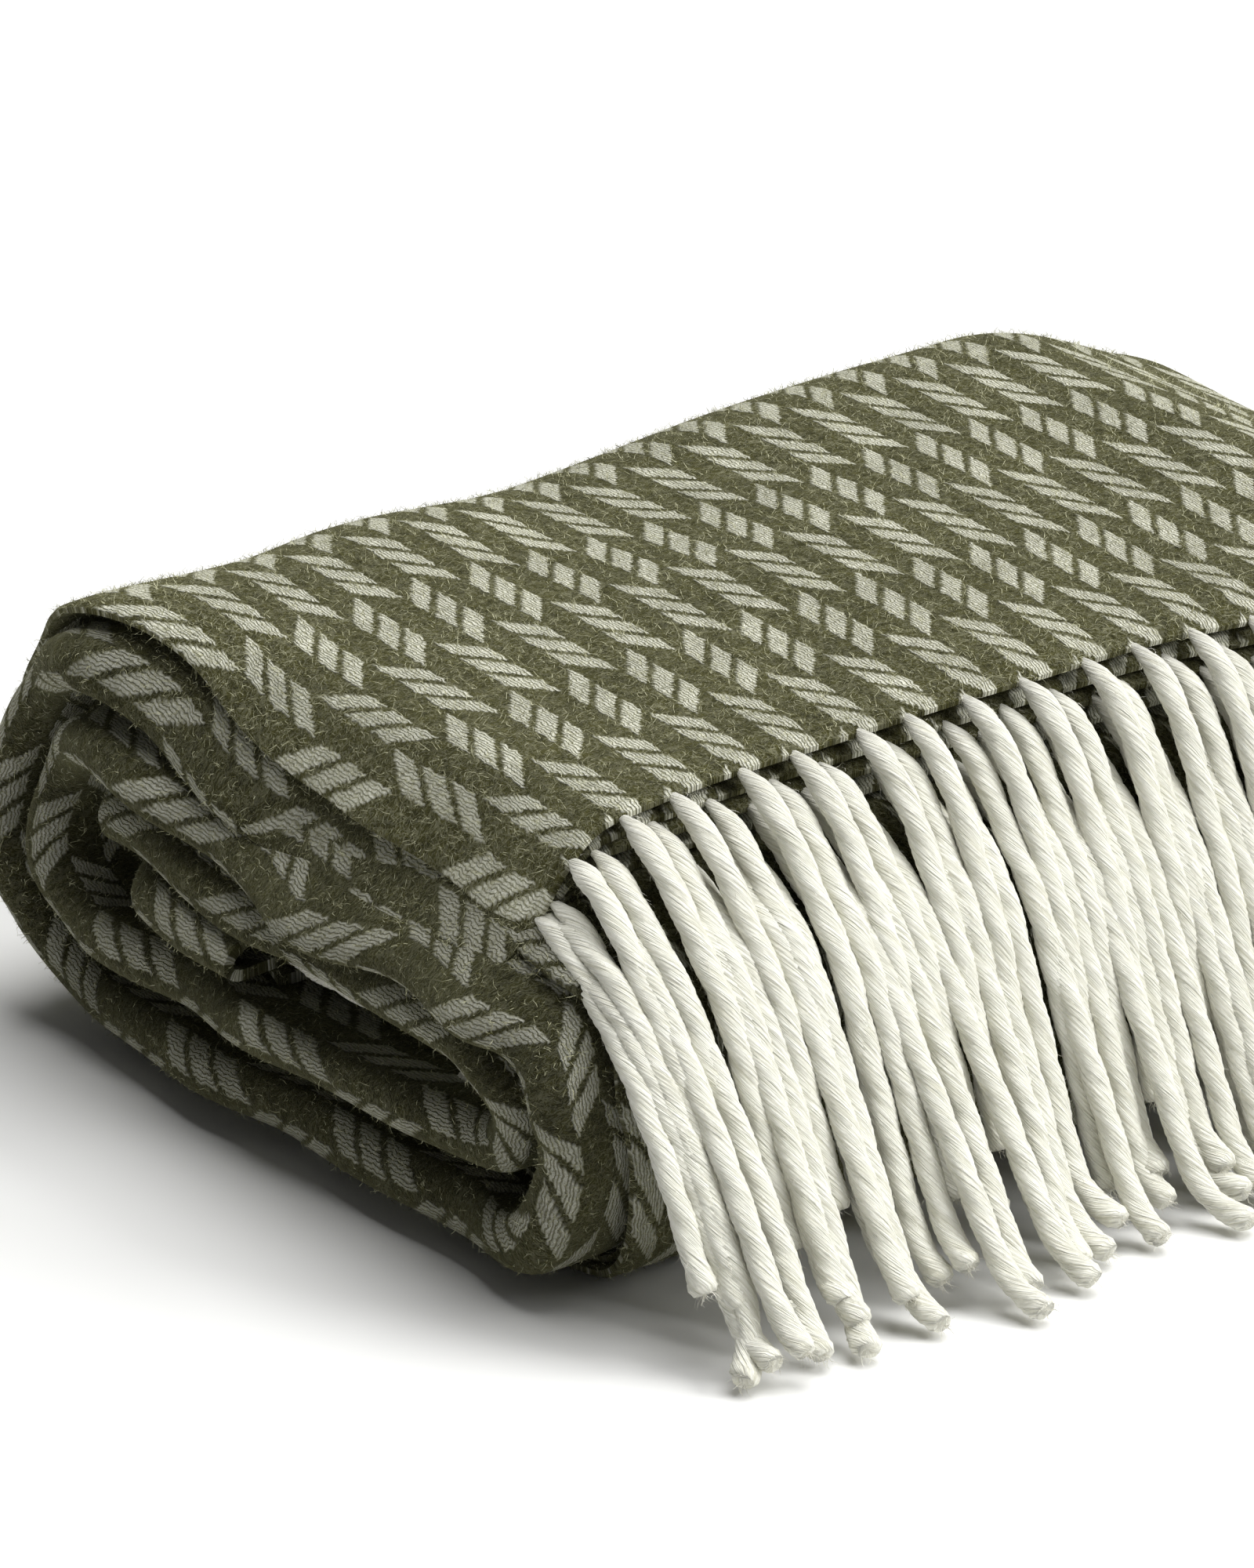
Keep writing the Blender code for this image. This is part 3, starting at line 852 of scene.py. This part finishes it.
def hair_piece(name, roots, outward, lean, lengths, paint):
    """Hairs from the roots. outward is away from the surface, and lean the way they bend."""
    count = len(roots)
    across = unit(np.cross(outward, lean))
    veer = dice.normal(0, 0.7, (count, 3))
    rows = [roots - HAIR_ROOT_DEPTH * outward]
    for step, rise in enumerate((0.75, 0.25, -0.10)):
        way = unit(lean * (1 - 0.2 * step) + across * veer[:, step:step + 1] + outward * rise)
        rows.append(rows[-1] + way * lengths[:, None] / 3)
    # there are tens of thousands of hairs, so all their points are laid out in one go
    points = []
    for step, row in enumerate(rows[:3]):
        half = across * HAIR_WIDTH * (1 - 0.25 * step) / 2
        points += [row - half, row + half]
    points.append(rows[3])
    verts = np.stack(points, 1).reshape(-1, 3)
    verts[:, 2] = np.maximum(verts[:, 2], FLOOR_CLEARANCE)
    base = np.arange(count) * 7
    quads = [np.stack([base + k, base + k + 1, base + k + 3, base + k + 2], 1) for k in (0, 2)]
    tips = np.stack([base + 4, base + 5, base + 6], 1)
    mesh = bpy.data.meshes.new(name)
    mesh.from_pydata(verts.tolist(), [], np.concatenate(quads).tolist() + tips.tolist())
    mesh.shade_smooth()
    piece = bpy.data.objects.new(name, mesh)
    bpy.context.scene.collection.objects.link(piece)
    mesh.materials.append(paint)
    return piece


def spots_on(pieces, count, wanted):
    """Random places on the faces that wanted keeps, with their normals, count to a square centimetre."""
    places, normals = [], []
    for piece in pieces:
        mesh = piece.data
        centres = np.empty(len(mesh.polygons) * 3)
        mesh.polygons.foreach_get("center", centres)
        facing = np.empty(len(mesh.polygons) * 3)
        mesh.polygons.foreach_get("normal", facing)
        areas = np.empty(len(mesh.polygons))
        mesh.polygons.foreach_get("area", areas)
        centres, facing = centres.reshape(-1, 3), facing.reshape(-1, 3)
        areas = areas * wanted(centres, facing)
        if areas.sum() == 0:
            continue
        hairs = int(count * areas.sum() / SQUARE_CENTIMETRE)
        chosen = dice.choice(len(areas), hairs, p=areas / areas.sum())
        spread = np.sqrt(areas[chosen])[:, None] * dice.uniform(-0.5, 0.5, (len(chosen), 3))
        spread -= facing[chosen] * (spread * facing[chosen]).sum(1, keepdims=True)
        places.append(centres[chosen] + spread)
        normals.append(facing[chosen])
    return np.concatenate(places), np.concatenate(normals)


def outside(places, normals):
    """Whether a face looks out from the roll."""
    out = places.copy()
    out[:, 0] = 0
    out[:, 1] -= np.clip(places[:, 1], FRONT_CENTRE, BACK_CENTRE)
    out[:, 2] -= TOP / 2
    return (out * normals).sum(1) > 0.3 * np.linalg.norm(out, axis=1)


def at_left_end(places, normals):
    """Whether a face is at the roll's left end, whichever way it looks."""
    return places[:, 0] < LEFT + END_DEPTH


def cloth_hairs(name, pieces, count, wanted, longest):
    places, normals = spots_on(pieces, count, wanted)
    lean = unit(np.cross(normals, dice.normal(0, 1, places.shape)))
    lengths = dice.uniform(0.35, 1.0, len(places)) * longest
    return hair_piece(name, places, normals, lean, lengths, wool_hair)


wool_hair = hair_paint("loose_wool_hair", dark="#5f5d30", light="#d8d7b4")
yarn_hair = hair_paint("loose_cream_hair", dark="#dedbcb", light="#f6f4ea")
flap_nap = cloth_hairs("flap_nap", [flap_top, back_outer], FLAP_HAIRS, outside, FLAP_HAIR_LENGTH)
flap_edge_nap = cloth_hairs("flap_edge_nap", [flap_top, flap_under, back_inner], FLAP_EDGE_HAIRS,
                            at_left_end, SHORT_HAIR_LENGTH)
for piece in (flap_nap, flap_edge_nap):
    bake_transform(piece)
roll_nap = cloth_hairs("roll_nap", [outer_bottom], ROLL_HAIRS, outside, SHORT_HAIR_LENGTH)
rolled = [outer_bottom, inner_bottom, outer_second, inner_second, core]
roll_edge_nap = cloth_hairs("roll_edge_nap", rolled, ROLL_EDGE_HAIRS, at_left_end, SHORT_HAIR_LENGTH)
for piece in (roll_nap, roll_edge_nap):
    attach(piece, "root")

# hairs all round each strand, and a brush of them at its loose end
roots, outward, lean, lengths = [], [], [], []
for route in routes:
    far = len(route) - 1
    along = unit(np.gradient(route, axis=0))
    for at_tip in (False, True):
        count = TIP_HAIRS if at_tip else STRAND_HAIRS
        spot = np.full(count, far) if at_tip else dice.integers(3, far, count)
        way = dice.normal(0, 1, (count, 3))
        out = unit(way - along[spot] * (way * along[spot]).sum(1, keepdims=True))
        from_middle = dice.uniform(0, 0.9, (count, 1)) if at_tip else 0.93
        roots.append(route[spot] + out * STRAND_RADIUS * from_middle)
        outward.append(out)
        lean.append(along[spot] * (1.6 if at_tip else 1.0) + 0.3 * dice.normal(0, 1, (count, 3)))
        longest = TIP_HAIR_LENGTH if at_tip else STRAND_HAIR_LENGTH
        lengths.append(dice.uniform(0.4, 1.0, count) * longest)
fringe_nap = hair_piece("fringe_nap", np.concatenate(roots), np.concatenate(outward),
                        unit(np.concatenate(lean)), np.concatenate(lengths), yarn_hair)
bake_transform(fringe_nap)

# ---------------------------------------------------------------------------------------
# The studio: a white sweep under the throw, one broad soft light almost overhead, and a
# smaller one low at the front right that lights the fringe.
FLOOR_REACH = 6.0
FLOOR_WHITE = "#f4f4f2"
FILL = 0.07
bm = bmesh.new()
bmesh.ops.create_grid(bm, x_segments=1, y_segments=1, size=FLOOR_REACH)
floor_mesh = bpy.data.meshes.new("floor")
bm.to_mesh(floor_mesh)
bm.free()
floor = bpy.data.objects.new("floor", floor_mesh)
bpy.context.scene.collection.objects.link(floor)
floor_paint = bpy.data.materials.new("pale_sweep")
floor_paint.use_nodes = True
floor_paint.node_tree.nodes["Principled BSDF"].inputs["Base Color"].default_value = linear(FLOOR_WHITE)
floor_paint.node_tree.nodes["Principled BSDF"].inputs["Roughness"].default_value = 0.9
floor_mesh.materials.append(floor_paint)

world = bpy.data.worlds.new("studio")
world.use_nodes = True
world.node_tree.nodes["Background"].inputs["Color"].default_value = (1, 1, 1, 1)
world.node_tree.nodes["Background"].inputs["Strength"].default_value = FILL
bpy.context.scene.world = world


def soft_sun(name, azimuth, height, spread, strength):
    """A wide, far light. azimuth is where it stands, turned from -Y towards +X."""
    data = bpy.data.lights.new(name, "SUN")
    data.angle = math.radians(spread)
    data.energy = strength
    light = bpy.data.objects.new(name, data)
    a, h = math.radians(azimuth), math.radians(height)
    toward = Vector((math.sin(a) * math.cos(h), -math.cos(a) * math.cos(h), math.sin(h)))
    light.rotation_euler = (-toward).to_track_quat("-Z", "Y").to_euler()
    bpy.context.scene.collection.objects.link(light)


soft_sun("overhead", 95, 76, 50, 2.7)
soft_sun("front_right", 48, 32, 30, 2.2)
bpy.context.scene.view_settings.view_transform = "Standard"
